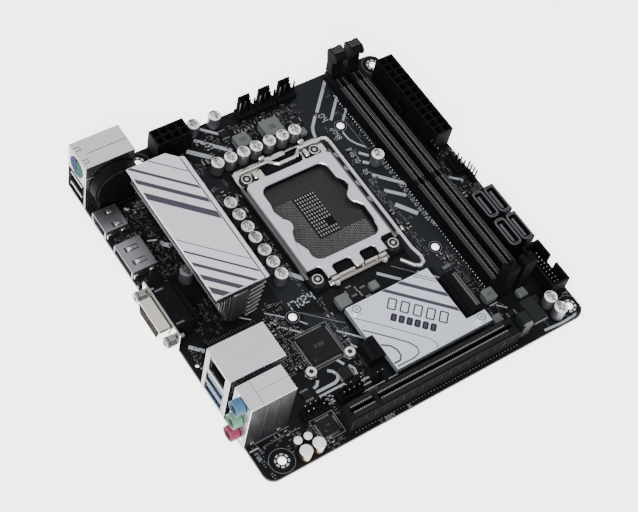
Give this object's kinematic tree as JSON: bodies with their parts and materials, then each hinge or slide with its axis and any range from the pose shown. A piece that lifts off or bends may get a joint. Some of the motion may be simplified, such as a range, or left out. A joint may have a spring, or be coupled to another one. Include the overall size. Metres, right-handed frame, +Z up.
{
  "type": "motherboard",
  "caption": "Small square computer motherboard with processor socket, memory and graphics slots, heatsinks and rear connectors.",
  "frame": {"origin": "middle of the bounding box, on the plane the bare board stands on", "axes": "+Z up out of the component side, +X from the rear connectors to the front edge, +Y from the graphics slot's edge to the processor power connector's edge"},
  "size_m": [0.1768, 0.17, 0.0371],
  "materials": {
    "board_laminate": "satin solder mask",
    "black_steel": "satin black coating",
    "socket_plastic": "matte",
    "nickel": "satin plating",
    "bright_steel": "satin",
    "silver_aluminium": "fine satin",
    "screw_steel": "bright",
    "plated_shell": "bright tin plating",
    "black_plastic": "moulded, slight gloss",
    "pink_plastic": "moulded",
    "green_plastic": "moulded",
    "blue_plastic": "moulded",
    "chip_resin": "moulded resin",
    "ferrite_grey": "pressed powder",
    "capacitor_can": "drawn can",
    "smoke_plastic": "smoked",
    "cell_sleeve": "shrink sleeve"
  },
  "bodies": {
    "board": {"pcb": "board_laminate", "socket_backplate": "black_steel", "cpu_socket": "socket_plastic", "ilm_frame": "nickel", "ilm_screw_1": "nickel", "ilm_screw_2": "nickel", "ilm_screw_3": "nickel", "ilm_screw_4": "nickel", "vrm_heatsink": "silver_aluminium", "vrm_screw_1": "screw_steel", "vrm_screw_2": "screw_steel", "chipset_heatsink": "silver_aluminium", "heatsink_pin_1": "smoke_plastic", "heatsink_pin_2": "smoke_plastic", "dimm_slot_1": "black_plastic", "dimm_slot_2": "black_plastic", "pcie_slot": "black_plastic", "m2_slot": "black_plastic", "m2_standoff_1": "screw_steel", "m2_standoff_2": "screw_steel", "wifi_slot": "black_plastic", "atx_power": "black_plastic", "eps_power": "black_plastic", "fan_header_1": "black_plastic", "fan_header_2": "black_plastic", "fan_header_3": "black_plastic", "sata_port_1": "black_plastic", "sata_port_2": "black_plastic", "sata_port_3": "black_plastic", "sata_port_4": "black_plastic", "usb3_header": "black_plastic", "panel_header": "black_plastic", "usb2_header": "black_plastic", "audio_header": "black_plastic", "ps2_usb_stack": "plated_shell", "lan_usb_stack": "plated_shell", "hdmi_port": "plated_shell", "displayport": "plated_shell", "vga_port": "plated_shell", "jackscrew_1": "nickel", "jackscrew_2": "nickel", "audio_stack": "plated_shell", "audio_jack_pink": "pink_plastic", "audio_jack_green": "green_plastic", "audio_jack_blue": "blue_plastic", "battery_holder": "black_plastic", "coin_cell": "cell_sleeve", "io_controller": "chip_resin", "audio_chip": "chip_resin", "choke_1": "ferrite_grey", "choke_2": "ferrite_grey", "choke_3": "ferrite_grey", "capacitor_1": "capacitor_can", "capacitor_2": "capacitor_can", "capacitor_3": "capacitor_can"},
    "load_plate": {"load_plate": "bright_steel"},
    "load_lever": {"load_lever": "bright_steel"},
    "dimm_latch_1": {"dimm_latch_1": "black_plastic"},
    "dimm_latch_2": {"dimm_latch_2": "black_plastic"},
    "pcie_latch": {"pcie_latch": "smoke_plastic"}
  },
  "joints": [
    {"name": "load_lever_hinge", "type": "hinge", "parent": "board", "child": "load_lever", "pos_m": [0.0114, 0.0504, 0.0074], "axis": [-1, 0, 0], "range_deg": [0, 120]},
    {"name": "load_plate_hinge", "type": "hinge", "parent": "board", "child": "load_plate", "pos_m": [0.0088, 0.0422, 0.008], "axis": [-1, 0, 0], "range_deg": [0, 105]},
    {"name": "dimm_latch_1_hinge", "type": "hinge", "parent": "board", "child": "dimm_latch_1", "pos_m": [0.0591, 0.0792, 0.0074], "axis": [-1, 0, 0], "range_deg": [0, 28]},
    {"name": "dimm_latch_2_hinge", "type": "hinge", "parent": "board", "child": "dimm_latch_2", "pos_m": [0.0687, 0.0792, 0.0074], "axis": [-1, 0, 0], "range_deg": [0, 28]},
    {"name": "pcie_latch_hinge", "type": "hinge", "parent": "board", "child": "pcie_latch", "pos_m": [0.0538, -0.0784, 0.0074], "axis": [0, 1, 0], "range_deg": [0, 18]}
  ]
}
